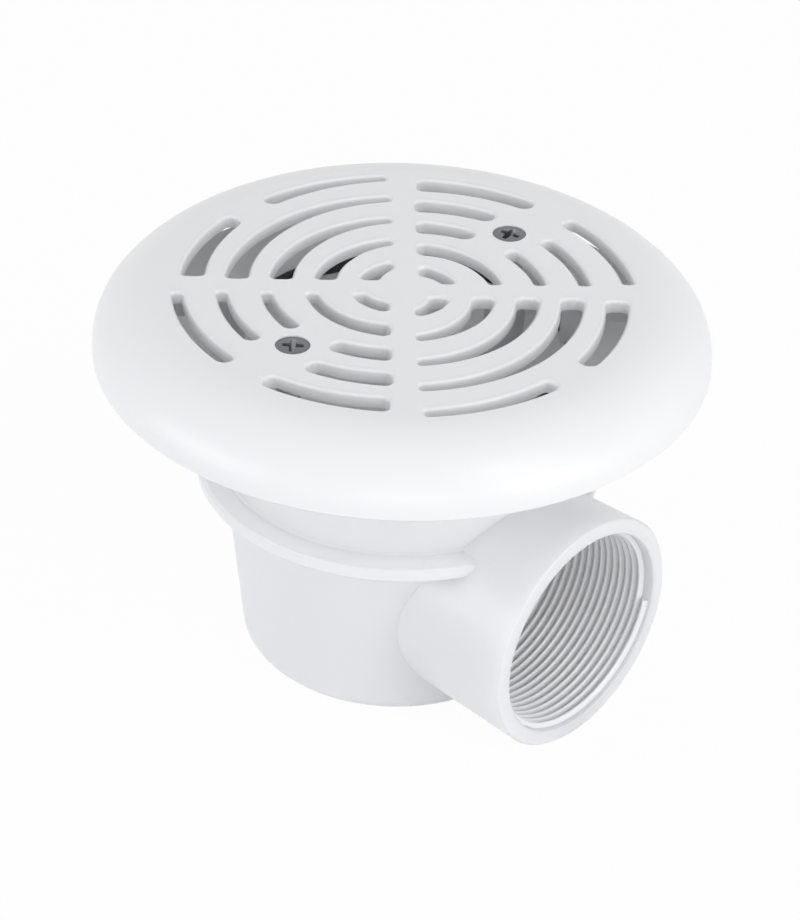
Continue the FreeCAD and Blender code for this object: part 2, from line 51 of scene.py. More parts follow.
def moulding_from(node, name, is_bevel, trued):
    """A merged copy of a CAD node whose narrow bevels shade as the rounds of a moulding.

    is_bevel takes the centres and the normals of all faces and tells which ones are bevels.
    trued takes the points and the blended normals of all corners and gives the true ones."""
    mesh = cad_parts[node].data.copy()
    mesh.name = name
    if "custom_normal" in mesh.attributes:
        mesh.attributes.remove(mesh.attributes["custom_normal"])
    work = bmesh.new()
    work.from_mesh(mesh)
    bmesh.ops.remove_doubles(work, verts=work.verts, dist=2e-6)
    bmesh.ops.dissolve_degenerate(work, edges=work.edges, dist=1e-7)
    bmesh.ops.triangulate(work, faces=work.faces)
    work.to_mesh(mesh)
    work.free()
    mesh.shade_smooth()

    faces, corners = len(mesh.polygons), len(mesh.loops)
    normal, centre = np.empty(faces * 3), np.empty(faces * 3)
    area, vertex = np.empty(faces), np.empty(corners, dtype=np.int64)
    mesh.polygons.foreach_get("normal", normal)
    mesh.polygons.foreach_get("center", centre)
    mesh.polygons.foreach_get("area", area)
    mesh.loops.foreach_get("vertex_index", vertex)
    normal, centre = normal.reshape(-1, 3), centre.reshape(-1, 3)
    bevel = is_bevel(centre, normal)
    face = np.repeat(np.arange(faces), 3)

    # every corner meets every other face round its vertex, and takes the ones it blends with
    order = np.argsort(vertex, kind="stable")
    count = np.bincount(vertex)
    start = np.concatenate([[0], np.cumsum(count)[:-1]])
    here = np.repeat(order, count[vertex[order]])
    step = np.arange(len(here)) - np.repeat(np.cumsum(count[vertex[order]]) - count[vertex[order]],
                                            count[vertex[order]])
    there = order[start[vertex[here]] + step]
    mine, other = face[here], face[there]
    alike = (normal[mine] * normal[other]).sum(1)
    joins = ~bevel[other] & (alike > np.where(bevel[mine], 0.5, 0.82))
    total = np.zeros((corners, 3))
    np.add.at(total, here[joins], normal[other[joins]] * area[other[joins]][:, None])
    size = np.linalg.norm(total, axis=1)
    lone = size < 1e-12
    total[lone] = normal[face[lone]]
    size[lone] = 1.0
    place = np.empty(len(mesh.vertices) * 3)
    mesh.vertices.foreach_get("co", place)
    blended = trued(place.reshape(-1, 3)[vertex], total / size[:, None])
    mesh.normals_split_custom_set(blended.tolist())

    piece = bpy.data.objects.new(name, mesh)
    bpy.context.scene.collection.objects.link(piece)
    return piece


def round_about(points, normals, axis, middle, reach):
    """Normals freed of their small lean along the turning, where the surface turns about an axis."""
    spoke = points - np.array(middle)
    spoke -= np.outer(spoke @ np.array(axis), axis)
    far = np.linalg.norm(spoke, axis=1)
    spoke /= np.maximum(far, 1e-9)[:, None]
    lean = np.cross(np.array(axis), spoke)
    along = (normals * lean).sum(1)
    fits = (np.abs(along) < 0.09) & reach(far, points)
    freed = normals - np.outer(np.where(fits, along, 0), np.ones(3)) * lean
    return freed / np.linalg.norm(freed, axis=1)[:, None]


def moulded_surface():
    """What a fine matt tool leaves on white plastic: faint clouds in the tone and the gloss, and a
    very fine grain."""
    group = bpy.data.node_groups.new("moulded_surface", "ShaderNodeTree")
    for label, kind, low in (("Tone", "NodeSocketColor", None), ("Shade", "NodeSocketColor", None),
                             ("Gloss low", "NodeSocketFloat", 0.2), ("Gloss high", "NodeSocketFloat", 0.4),
                             ("Grain", "NodeSocketFloat", 0.05)):
        socket = group.interface.new_socket(label, in_out="INPUT", socket_type=kind)
        if low is not None:
            socket.default_value = low
    for label, kind in (("Color", "NodeSocketColor"), ("Roughness", "NodeSocketFloat"),
                        ("Normal", "NodeSocketVector")):
        group.interface.new_socket(label, in_out="OUTPUT", socket_type=kind)
    nodes, links = group.nodes, group.links
    given, result = nodes.new("NodeGroupInput"), nodes.new("NodeGroupOutput")
    place = nodes.new("ShaderNodeTexCoord")

    def clouds(scale, detail, rough):
        noise = nodes.new("ShaderNodeTexNoise")
        noise.inputs["Scale"].default_value = scale
        noise.inputs["Detail"].default_value = detail
        noise.inputs["Roughness"].default_value = rough
        links.new(place.outputs["Object"], noise.inputs["Vector"])
        return noise

    broad, grain = clouds(14, 3, 0.5), clouds(1900, 2, 0.6)
    tone = nodes.new("ShaderNodeMix")
    tone.data_type = "RGBA"
    links.new(broad.outputs["Fac"], tone.inputs["Factor"])
    links.new(given.outputs["Tone"], tone.inputs["A"])
    links.new(given.outputs["Shade"], tone.inputs["B"])
    gloss = nodes.new("ShaderNodeMapRange")
    gloss.clamp = False
    links.new(broad.outputs["Fac"], gloss.inputs["Value"])
    links.new(given.outputs["Gloss low"], gloss.inputs["To Min"])
    links.new(given.outputs["Gloss high"], gloss.inputs["To Max"])
    fine = nodes.new("ShaderNodeBump")
    fine.inputs["Distance"].default_value = 0.00003
    links.new(given.outputs["Grain"], fine.inputs["Strength"])
    links.new(grain.outputs["Fac"], fine.inputs["Height"])
    links.new(tone.outputs["Result"], result.inputs["Color"])
    links.new(gloss.outputs["Result"], result.inputs["Roughness"])
    links.new(fine.outputs["Normal"], result.inputs["Normal"])
    return group


plastic_surface = moulded_surface()


def white_abs(name, tone, shade, gloss, grain, milky, stray):
    """White ABS straight from the tool. milky is the share of the light that strays inside it, and
    stray is how far it goes, in metres."""
    material = bpy.data.materials.new(name)
    material.use_nodes = True
    nodes, links = material.node_tree.nodes, material.node_tree.links
    shader = nodes["Principled BSDF"]
    surface = nodes.new("ShaderNodeGroup")
    surface.node_tree = plastic_surface
    surface.inputs["Tone"].default_value = (*tone, 1)
    surface.inputs["Shade"].default_value = (*shade, 1)
    surface.inputs["Gloss low"].default_value, surface.inputs["Gloss high"].default_value = gloss
    surface.inputs["Grain"].default_value = grain
    links.new(surface.outputs["Color"], shader.inputs["Base Color"])
    links.new(surface.outputs["Roughness"], shader.inputs["Roughness"])
    links.new(surface.outputs["Normal"], shader.inputs["Normal"])
    shader.inputs["IOR"].default_value = 1.53
    shader.inputs["Subsurface Weight"].default_value = milky
    shader.inputs["Subsurface Radius"].default_value = (1.0, 0.95, 0.9)
    shader.inputs["Subsurface Scale"].default_value = stray
    return material


abs_tone, sump_shade = (0.935, 0.937, 0.942), (0.924, 0.927, 0.933)
sump_gloss, sump_grain = (0.30, 0.37), 0.08
sump_plastic = white_abs("sump_plastic", abs_tone, sump_shade, sump_gloss, sump_grain, 0.6, 0.012)
outlet_height, outlet_bore, outlet_face = 0.0343, 0.0297, 0.0706
# a point this far from the outlet's axis is on its bore or its outside
outlet_near, outlet_far, outlet_root = 0.0290, 0.0348, 0.02


def sump_bevels(centre, normal):
    level = np.abs(np.abs(normal[:, 2]) - 0.7071) < 0.02
    out = np.hypot(centre[:, 0], centre[:, 1])
    ring_edge = (centre[:, 2] > 0.053) & (out > 0.048)
    at_mouth = (centre[:, 0] > outlet_face - 0.001) & (np.abs(normal[:, 0] - 0.7071) < 0.05)
    return (level & ring_edge) | at_mouth


def sump_trued(points, normals):
    normals = round_about(points, normals, (0.0, 0.0, 1.0), (0, 0, 0), lambda far, p: far > 0.004)
    return round_about(points, normals, (1.0, 0.0, 0.0), (0, 0, outlet_height),
                       lambda far, p: (p[:, 0] > outlet_root) & (far > outlet_near) & (far < outlet_far))


sump = moulding_from("sump_body", "sump_moulding", sump_bevels, sump_trued)
sump.data.materials.clear()
sump.data.materials.append(sump_plastic)
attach(sump, "root")
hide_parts("sump_body")

# --------------------------------------------------------- the outlet's pipe thread
# A parallel 2 inch pipe thread, 11 turns to the inch, is moulded in one piece with the outlet.
# It starts 2 mm behind the mouth's face with a blunt end, and the well's wall cuts it off inside.


def thread_tree():
    """A ridge of trapezium section that is swept along a helix about the Z axis."""
    tree = bpy.data.node_groups.new("thread_ridge", "GeometryNodeTree")
    tree.interface.new_socket("Geometry", in_out="OUTPUT", socket_type="NodeSocketGeometry")
    for label, kind, value in (
            ("Root radius", "NodeSocketFloat", 0.0297), ("Pitch", "NodeSocketFloat", 0.002309),
            ("Turns", "NodeSocketFloat", 12.0), ("Depth", "NodeSocketFloat", 0.0014),
            ("Root width", "NodeSocketFloat", 0.0022), ("Crest width", "NodeSocketFloat", 0.0004),
            ("Crest round", "NodeSocketFloat", 0.0002), ("Steps", "NodeSocketInt", 96),
            ("Run-out", "NodeSocketFloat", 0.02), ("Material", "NodeSocketMaterial", None)):
        socket = tree.interface.new_socket(label, in_out="INPUT", socket_type=kind)
        if value is not None:
            socket.default_value = value
    nodes, links = tree.nodes, tree.links
    given, result = nodes.new("NodeGroupInput"), nodes.new("NodeGroupOutput")

    def maths(operation, first, second=None, third=None):
        node = nodes.new("ShaderNodeMath")
        node.operation = operation
        for i, value in enumerate((first, second, third)):
            if value is None:
                continue
            if isinstance(value, (int, float)):
                node.inputs[i].default_value = value
            else:
                links.new(value, node.inputs[i])
        return node.outputs[0]

    helix = nodes.new("GeometryNodeCurveSpiral")
    links.new(given.outputs["Steps"], helix.inputs["Resolution"])
    links.new(given.outputs["Turns"], helix.inputs["Rotations"])
    links.new(given.outputs["Root radius"], helix.inputs["Start Radius"])
    links.new(given.outputs["Root radius"], helix.inputs["End Radius"])
    links.new(maths("MULTIPLY", given.outputs["Turns"], given.outputs["Pitch"]), helix.inputs["Height"])
    upright = nodes.new("GeometryNodeSetCurveNormal")
    upright.mode = "Z_UP"
    links.new(helix.outputs["Curve"], upright.inputs["Curve"])
    along = nodes.new("GeometryNodeSplineParameter").outputs["Factor"]
    rising = maths("DIVIDE", along, given.outputs["Run-out"])
    falling = maths("DIVIDE", maths("SUBTRACT", 1.0, along), given.outputs["Run-out"])
    swell = maths("MAXIMUM", maths("MINIMUM", maths("MINIMUM", rising, falling), 1.0), 0.02)
    swollen = nodes.new("GeometryNodeSetCurveRadius")
    links.new(upright.outputs["Curve"], swollen.inputs["Curve"])
    links.new(swell, swollen.inputs["Radius"])

    section = nodes.new("GeometryNodeCurvePrimitiveQuadrilateral")
    section.mode = "TRAPEZOID"
    links.new(given.outputs["Root width"], section.inputs["Bottom Width"])
    links.new(given.outputs["Crest width"], section.inputs["Top Width"])
    links.new(given.outputs["Depth"], section.inputs["Height"])
    section.inputs["Offset"].default_value = 0.0
    turned = nodes.new("GeometryNodeTransform")
    shift = nodes.new("ShaderNodeCombineXYZ")
    links.new(maths("MULTIPLY", given.outputs["Depth"], 0.5), shift.inputs["X"])
    links.new(section.outputs["Curve"], turned.inputs["Geometry"])
    links.new(shift.outputs["Vector"], turned.inputs["Translation"])
    turned.inputs["Rotation"].default_value = (0, 0, -math.pi / 2)
    crest = nodes.new("GeometryNodeFilletCurve")
    crest.mode = "POLY"
    crest.inputs["Count"].default_value = 2
    crest.inputs["Limit Radius"].default_value = True
    links.new(turned.outputs["Geometry"], crest.inputs["Curve"])
    links.new(given.outputs["Crest round"], crest.inputs["Radius"])
    sweep = nodes.new("GeometryNodeCurveToMesh")
    sweep.inputs["Fill Caps"].default_value = True
    links.new(swollen.outputs["Curve"], sweep.inputs["Curve"])
    links.new(crest.outputs["Curve"], sweep.inputs["Profile Curve"])
    real = nodes.new("GeometryNodeRealizeInstances")
    links.new(sweep.outputs["Mesh"], real.inputs["Geometry"])
    coat = nodes.new("GeometryNodeSetMaterial")
    links.new(real.outputs["Geometry"], coat.inputs["Geometry"])
    links.new(given.outputs["Material"], coat.inputs["Material"])
    links.new(coat.outputs["Geometry"], result.inputs["Geometry"])
    return tree


def grown(name, tree, values):
    """The plain mesh that a tree gives for these input values."""
    holder = bpy.data.objects.new(name + "_seed", bpy.data.meshes.new(name + "_seed"))
    bpy.context.scene.collection.objects.link(holder)
    modifier = holder.modifiers.new(name, "NODES")
    modifier.node_group = tree
    for item in tree.interface.items_tree:
        if item.item_type == "SOCKET" and item.in_out == "INPUT" and item.name in values:
            modifier[item.identifier] = values[item.name]
    bpy.context.view_layer.update()
    ready = holder.evaluated_get(bpy.context.evaluated_depsgraph_get())
    mesh = bpy.data.meshes.new_from_object(ready)
    mesh.name = name
    bpy.data.objects.remove(holder)
    piece = bpy.data.objects.new(name, mesh)
    bpy.context.scene.collection.objects.link(piece)
    return piece


def outward(mesh, smooth_angle):
    """Normals recalculated after the doubles are merged; edges sharper than the angle stay crisp."""
    work = bmesh.new()
    work.from_mesh(mesh)
    bmesh.ops.remove_doubles(work, verts=work.verts, dist=1e-7)
    bmesh.ops.recalc_face_normals(work, faces=work.faces)
    work.to_mesh(mesh)
    work.free()
    mesh.shade_smooth()
    mesh.set_sharp_from_angle(angle=math.radians(smooth_angle))


def turned_piece(name, profile, centre, steps):
    """A closed profile of (radius, height) in metres, revolved about an upright axis."""
    mesh = bpy.data.meshes.new(name)
    work = bmesh.new()
    rows = []
    for i in range(steps):
        turn = 2 * math.pi * i / steps
        rows.append([work.verts.new((centre[0] + r * math.cos(turn), centre[1] + r * math.sin(turn), z))
                     for r, z in profile])
    for i, row in enumerate(rows):
        after = rows[(i + 1) % steps]
        for j in range(len(profile)):
            k = (j + 1) % len(profile)
            work.faces.new((row[j], after[j], after[k], row[k]))
    work.to_mesh(mesh)
    work.free()
    piece = bpy.data.objects.new(name, mesh)
    bpy.context.scene.collection.objects.link(piece)
    return piece


def cut_by(piece, cutter):
    """The piece as a plain mesh, less the space that the cutter fills; the cutter goes."""
    cut = piece.modifiers.new("cut", "BOOLEAN")
    cut.operation = "DIFFERENCE"
    cut.solver = "EXACT"
    cut.material_mode = "TRANSFER"
    cut.object = cutter
    bpy.context.view_layer.update()
    ready = piece.evaluated_get(bpy.context.evaluated_depsgraph_get())
    mesh = bpy.data.meshes.new_from_object(ready)
    mesh.name = piece.data.name
    piece.modifiers.clear()
    piece.data = mesh
    bpy.data.objects.remove(cutter)
    return piece


thread_ridge = thread_tree()
# light that strays far would darken the deep bore, so it stays near the thread's surface
thread_plastic = white_abs("thread_plastic", abs_tone, sump_shade, sump_gloss, sump_grain, 0.3, 0.001)
thread_turns, thread_pitch, thread_sunk = 14.6, 0.002309, 0.00005
thread_lead_in, thread_end_angle = 0.0020, 81
outlet_thread = grown("outlet_thread", thread_ridge, {
    "Root radius": outlet_bore + thread_sunk, "Pitch": thread_pitch, "Turns": thread_turns,
    "Depth": 0.00142, "Root width": 0.00225, "Crest width": 0.00045, "Crest round": 0.00022,
    "Steps": 110, "Run-out": 0.003, "Material": thread_plastic})
# laid along the outlet with its outer end at half past three; the ridge is grown left-handed, and
# the mirror makes it the right-handed thread that the photograph shows
thread_end_turn = math.radians(thread_end_angle - 360 * thread_turns)
outlet_thread.data.transform(
    Matrix.Translation((outlet_face - thread_lead_in - thread_turns * thread_pitch, 0, outlet_height))
    @ Matrix.Rotation(math.radians(90), 4, "Y") @ Matrix.Rotation(thread_end_turn, 4, "Z")
    @ Matrix.Scale(-1, 4, (0, 1, 0)))
outward(outlet_thread.data, 50)
# the well cuts it off inside, along the sump's own wall
on_axis, well_low, well_low_r, well_neck, well_r, well_high = 0.00001, 0.001, 0.0392, 0.0596, 0.0453, 0.0900
well_cutter = turned_piece("well_cutter", [
    (on_axis, well_low), (well_low_r, well_low), (well_r, well_neck), (well_r, well_high),
    (on_axis, well_high)], (0, 0), 120)
outward(well_cutter.data, 30)
outlet_thread = cut_by(outlet_thread, well_cutter)
outward(outlet_thread.data, 50)
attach(outlet_thread, "root")

# ------------------------------------------------------------- the mouth's seal
# A square ring of black rubber lies in the rebate of the sump's mouth. The four feet of the cover
# press it down, and nothing else holds it.


def rounded_section(inner, outer, low, high, radius, steps=4):
    """The section of a ring with its four corners rounded."""
    points = []
    for r, z, first in ((outer - radius, high - radius, 0), (inner + radius, high - radius, 90),
                        (inner + radius, low + radius, 180), (outer - radius, low + radius, 270)):
        for step in range(steps + 1):
            turn = math.radians(first + 90 * step / steps)
            points.append((r + radius * math.cos(turn), z + radius * math.sin(turn)))
    return points


seal_low, seal_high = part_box("mouth_seal")
seal_bore, seal_round = 0.0452, 0.0004
seal = turned_piece("seal_ring", rounded_section(
    seal_bore, seal_high[0], seal_low[2], seal_high[2], seal_round), (0, 0), 144)
outward(seal.data, 60)
rubber = bpy.data.materials.new("seal_rubber")
rubber.use_nodes = True
rubber_nodes, rubber_links = rubber.node_tree.nodes, rubber.node_tree.links
rubber_place = rubber_nodes.new("ShaderNodeTexCoord")
rubber_bloom = rubber_nodes.new("ShaderNodeTexNoise")
rubber_bloom.inputs["Scale"].default_value = 220
rubber_bloom.inputs["Detail"].default_value = 4
rubber_tone = rubber_nodes.new("ShaderNodeValToRGB")
rubber_tone.color_ramp.elements[0].color = (0.035, 0.037, 0.041, 1)
rubber_tone.color_ramp.elements[1].color = (0.075, 0.079, 0.086, 1)
rubber_tone.color_ramp.elements[0].position = 0.35
rubber_tone.color_ramp.elements[1].position = 0.75
rubber_pores = rubber_nodes.new("ShaderNodeBump")
rubber_pores.inputs["Strength"].default_value = 0.3
rubber_pores.inputs["Distance"].default_value = 0.0001
rubber_links.new(rubber_place.outputs["Object"], rubber_bloom.inputs["Vector"])
rubber_links.new(rubber_bloom.outputs["Fac"], rubber_tone.inputs["Fac"])
rubber_links.new(rubber_bloom.outputs["Fac"], rubber_pores.inputs["Height"])
rubber_links.new(rubber_tone.outputs["Color"], rubber_nodes["Principled BSDF"].inputs["Base Color"])
rubber_links.new(rubber_pores.outputs["Normal"], rubber_nodes["Principled BSDF"].inputs["Normal"])
rubber_nodes["Principled BSDF"].inputs["Roughness"].default_value = 0.62
seal.data.materials.append(rubber)
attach(seal, "root")
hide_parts("mouth_seal")

# ------------------------------------------------------------ the brass inserts
# Two turned and knurled brass inserts are pressed warm into the sump's posts. The cover's screws
# go into them, so the plastic never wears.


def knurl_tree():
    """Straight ribs round an upright axis, in two bands."""
    tree = bpy.data.node_groups.new("knurl", "GeometryNodeTree")
    tree.interface.new_socket("Geometry", in_out="OUTPUT", socket_type="NodeSocketGeometry")
    for label, kind, value in (
            ("Radius", "NodeSocketFloat", 0.0035), ("Ribs", "NodeSocketInt", 28),
            ("Rib size", "NodeSocketFloat", 0.0003), ("Band height", "NodeSocketFloat", 0.003),
            ("Band gap", "NodeSocketFloat", 0.0048), ("Material", "NodeSocketMaterial", None)):
        socket = tree.interface.new_socket(label, in_out="INPUT", socket_type=kind)
        if value is not None:
            socket.default_value = value
    nodes, links = tree.nodes, tree.links
    given, result = nodes.new("NodeGroupInput"), nodes.new("NodeGroupOutput")
    circle = nodes.new("GeometryNodeMeshCircle")
    links.new(given.outputs["Ribs"], circle.inputs["Vertices"])
    links.new(given.outputs["Radius"], circle.inputs["Radius"])
    rib = nodes.new("GeometryNodeMeshCone")
    rib.inputs["Vertices"].default_value = 4
    for end in ("Radius Top", "Radius Bottom"):
        links.new(given.outputs["Rib size"], rib.inputs[end])
    links.new(given.outputs["Band height"], rib.inputs["Depth"])
    place = nodes.new("GeometryNodeInputPosition")
    face_out = nodes.new("FunctionNodeAlignRotationToVector")
    face_out.axis = "X"
    face_out.pivot_axis = "Z"
    links.new(place.outputs["Position"], face_out.inputs["Vector"])
    ribs = nodes.new("GeometryNodeInstanceOnPoints")
    links.new(circle.outputs["Mesh"], ribs.inputs["Points"])
    links.new(rib.outputs["Mesh"], ribs.inputs["Instance"])
    links.new(face_out.outputs["Rotation"], ribs.inputs["Rotation"])
    lifted = nodes.new("GeometryNodeTransform")
    lift = nodes.new("ShaderNodeCombineXYZ")
    links.new(given.outputs["Band gap"], lift.inputs["Z"])
    links.new(ribs.outputs["Instances"], lifted.inputs["Geometry"])
    links.new(lift.outputs["Vector"], lifted.inputs["Translation"])
    both = nodes.new("GeometryNodeJoinGeometry")
    links.new(ribs.outputs["Instances"], both.inputs["Geometry"])
    links.new(lifted.outputs["Geometry"], both.inputs["Geometry"])
    real = nodes.new("GeometryNodeRealizeInstances")
    links.new(both.outputs["Geometry"], real.inputs["Geometry"])
    coat = nodes.new("GeometryNodeSetMaterial")
    links.new(real.outputs["Geometry"], coat.inputs["Geometry"])
    links.new(given.outputs["Material"], coat.inputs["Material"])
    links.new(coat.outputs["Geometry"], result.inputs["Geometry"])
    return tree


def turning_marks():
    """Fine rings that a lathe leaves, as a height and a gloss, round an upright axis."""
    group = bpy.data.node_groups.new("turning_marks", "ShaderNodeTree")
    for label, value in (("Rings per metre", 9000.0), ("Depth", 0.2), ("Gloss", 0.25)):
        group.interface.new_socket(label, in_out="INPUT", socket_type="NodeSocketFloat").default_value = value
    for label, kind in (("Roughness", "NodeSocketFloat"), ("Normal", "NodeSocketVector")):
        group.interface.new_socket(label, in_out="OUTPUT", socket_type=kind)
    nodes, links = group.nodes, group.links
    given, result = nodes.new("NodeGroupInput"), nodes.new("NodeGroupOutput")
    place = nodes.new("ShaderNodeTexCoord")
    split = nodes.new("ShaderNodeSeparateXYZ")
    rings = nodes.new("ShaderNodeTexNoise")
    rings.noise_dimensions = "1D"
    rings.inputs["Scale"].default_value = 1.0
    steps = nodes.new("ShaderNodeMath")
    steps.operation = "MULTIPLY"
    links.new(place.outputs["Object"], split.inputs["Vector"])
    links.new(split.outputs["Z"], steps.inputs[0])
    links.new(given.outputs["Rings per metre"], steps.inputs[1])
    links.new(steps.outputs[0], rings.inputs["W"])
    gloss = nodes.new("ShaderNodeMath")
    gloss.operation = "MULTIPLY_ADD"
    gloss.inputs[1].default_value = 0.15
    links.new(rings.outputs["Fac"], gloss.inputs[0])
    links.new(given.outputs["Gloss"], gloss.inputs[2])
    groove = nodes.new("ShaderNodeBump")
    groove.inputs["Distance"].default_value = 0.00003
    links.new(given.outputs["Depth"], groove.inputs["Strength"])
    links.new(rings.outputs["Fac"], groove.inputs["Height"])
    links.new(gloss.outputs[0], result.inputs["Roughness"])
    links.new(groove.outputs["Normal"], result.inputs["Normal"])
    return group


lathe_rings = turning_marks()


def turned_metal(name, colour, gloss, depth):
    material = bpy.data.materials.new(name)
    material.use_nodes = True
    nodes, links = material.node_tree.nodes, material.node_tree.links
    shader = nodes["Principled BSDF"]
    marks = nodes.new("ShaderNodeGroup")
    marks.node_tree = lathe_rings
    marks.inputs["Gloss"].default_value = gloss
    marks.inputs["Depth"].default_value = depth
    links.new(marks.outputs["Roughness"], shader.inputs["Roughness"])
    links.new(marks.outputs["Normal"], shader.inputs["Normal"])
    shader.inputs["Base Color"].default_value = (*colour, 1)
    shader.inputs["Metallic"].default_value = 1.0
    return material


brass = turned_metal("insert_brass", (0.72, 0.55, 0.27), 0.24, 0.3)
insert_core, insert_rib, bore = 0.0034, 0.0002, 0.0025
edge, waist_depth, waist_half, waist_slope = 0.0003, 0.0004, 0.0003, 0.0005
knurl = knurl_tree()
for node in ("insert_left", "insert_right"):
    low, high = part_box(node)
    middle = ((low[0] + high[0]) / 2, (low[1] + high[1]) / 2)
    waist = (low[2] + high[2]) / 2
    insert = turned_piece(node + "_turned", [
        (bore, low[2] + edge), (bore + edge, low[2]), (insert_core - edge, low[2]),
        (insert_core, low[2] + edge), (insert_core, waist - waist_slope),
        (insert_core - waist_depth, waist - waist_half), (insert_core - waist_depth, waist + waist_half),
        (insert_core, waist + waist_slope), (insert_core, high[2] - edge),
        (insert_core - edge, high[2]), (bore + edge, high[2]), (bore, high[2] - edge)], middle, 72)
    ribs = grown(node + "_ribs", knurl, {
        "Radius": insert_core, "Ribs": 30, "Rib size": insert_rib, "Band height": 0.003,
        "Band gap": 0.0046, "Material": brass})
    ribs.data.transform(Matrix.Translation((middle[0], middle[1], low[2] + 0.0007)))
    whole = bmesh.new()
    whole.from_mesh(insert.data)
    whole.from_mesh(ribs.data)
    whole.to_mesh(insert.data)
    whole.free()
    bpy.data.objects.remove(ribs)
    outward(insert.data, 35)
    insert.data.materials.clear()
    insert.data.materials.append(brass)
    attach(insert, "root")
    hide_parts(node)

# ------------------------------------------------------------------- the cover
# The grille cover is one moulding in white ABS: a flat slotted plate whose rim rolls down to the
# pool floor, with four ribs and feet and two screw bosses below. Two screws hold it on the sump.

cover_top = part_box("cover")[1][2]
cover_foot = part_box("cover")[0][2]


def cover_bevels(centre, normal):
    level = np.abs(np.abs(normal[:, 2]) - 0.7071) < 0.03
    slot_edge = (centre[:, 2] > cover_top - 0.00112) & (normal[:, 2] > 0)
    lip = centre[:, 2] < cover_foot + 0.00085
    return level & (slot_edge | lip)


cover_shade, cover_gloss, cover_grain = (0.926, 0.928, 0.934), (0.285, 0.335), 0.06
cover_plastic = white_abs("cover_plastic", abs_tone, cover_shade, cover_gloss, cover_grain, 0.3, 0.001)
# each arc of the rim: its centre's radius and drop below the top, its own radius, outside or inside
rim_arcs = ((0.0641, 0.0228, 0.0228, 1), (0.0725, 0.016, 0.012, 1),
            (0.0641, 0.0228, 0.0190, -1), (0.0725, 0.016, 0.0082, -1))


def cover_trued(points, normals):
    """The rim's two arcs, outside and inside, give their own normals."""
    normals = round_about(points, normals, (0.0, 0.0, 1.0), (0, 0, 0), lambda far, p: far > 0.004)
    out = np.hypot(points[:, 0], points[:, 1])
    for middle_r, drop, radius, sign in rim_arcs:
        side, rise = out - middle_r, points[:, 2] - (cover_top - drop)
        far = np.hypot(side, rise)
        arc = np.stack([side / far * points[:, 0] / out, side / far * points[:, 1] / out, rise / far], axis=1)
        arc *= sign
        fits = (np.abs(far - radius) < 4e-5) & ((arc * normals).sum(1) > 0.93)
        fits &= (side > -1e-5) & (rise > -1e-5)
        normals[fits] = arc[fits]
    return normals


cover = moulding_from("cover", "cover_moulding", cover_bevels, cover_trued)
cover.data.materials.clear()
cover.data.materials.append(cover_plastic)
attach(cover, "root")
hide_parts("cover")

# ----------------------------------------------------------- the cover's screws
# Two polished stainless machine screws with countersunk heads and cross recesses hold the cover
# down. Each goes through a boss of the cover into its brass insert.

# the polished steel's colour is painted dark: a painted reflection of dark surroundings in the heads
steel_painted_dark = turned_metal("screw_steel", (0.17, 0.177, 0.187), 0.14, 0.15)
recess_dark = bpy.data.materials.new("recess_steel")
recess_dark.use_nodes = True
recess_nodes, recess_links = recess_dark.node_tree.nodes, recess_dark.node_tree.links
recess_grain = recess_nodes.new("ShaderNodeTexNoise")
recess_grain.inputs["Scale"].default_value = 2500
recess_place = recess_nodes.new("ShaderNodeTexCoord")
recess_tone = recess_nodes.new("ShaderNodeValToRGB")
recess_tone.color_ramp.elements[0].color = (0.20, 0.205, 0.21, 1)
recess_tone.color_ramp.elements[1].color = (0.34, 0.345, 0.355, 1)
recess_links.new(recess_place.outputs["Object"], recess_grain.inputs["Vector"])
recess_links.new(recess_grain.outputs["Fac"], recess_tone.inputs["Fac"])
recess_links.new(recess_tone.outputs["Color"], recess_nodes["Principled BSDF"].inputs["Base Color"])
recess_nodes["Principled BSDF"].inputs["Metallic"].default_value = 1.0
recess_nodes["Principled BSDF"].inputs["Roughness"].default_value = 0.35


def cross_cutter(centre, top, turn, arm, width, depth):
    """Four tapering wings that meet in the middle, as the driver's tip has."""
    mesh = bpy.data.meshes.new("cross_cutter")
    work = bmesh.new()
    outline = []
    for quarter in range(4):
        base = turn + quarter * math.pi / 2
        along = Vector((math.cos(base), math.sin(base), 0))
        side = Vector((-math.sin(base), math.cos(base), 0))
        outline += [(along, side, arm, -width / 2), (along, side, arm, width / 2),
                    (along, side, width / 2 + 0.00025, width / 2 + 0.00025)]
    rows = []
    for level, spread, thin in ((top + 0.0006, 1.0, 1.0), (top, 1.0, 1.0), (top - depth, 0.42, 0.7)):
        rows.append([work.verts.new(Vector((centre[0], centre[1], level))
                                    + along * (a * spread) + side * (s * thin))
                     for along, side, a, s in outline])
    count = len(outline)
    for upper, lower in zip(rows, rows[1:]):
        for i in range(count):
            j = (i + 1) % count
            work.faces.new((upper[i], lower[i], lower[j], upper[j]))
    tip = work.verts.new((centre[0], centre[1], top - depth - 0.0005))
    cap = work.verts.new((centre[0], centre[1], top + 0.0006))
    for i in range(count):
        j = (i + 1) % count
        work.faces.new((rows[-1][i], tip, rows[-1][j]))
        work.faces.new((rows[0][j], cap, rows[0][i]))
    bmesh.ops.recalc_face_normals(work, faces=work.faces)
    work.to_mesh(mesh)
    work.free()
    mesh.materials.append(recess_dark)
    piece = bpy.data.objects.new("cross_cutter", mesh)
    bpy.context.scene.collection.objects.link(piece)
    return piece


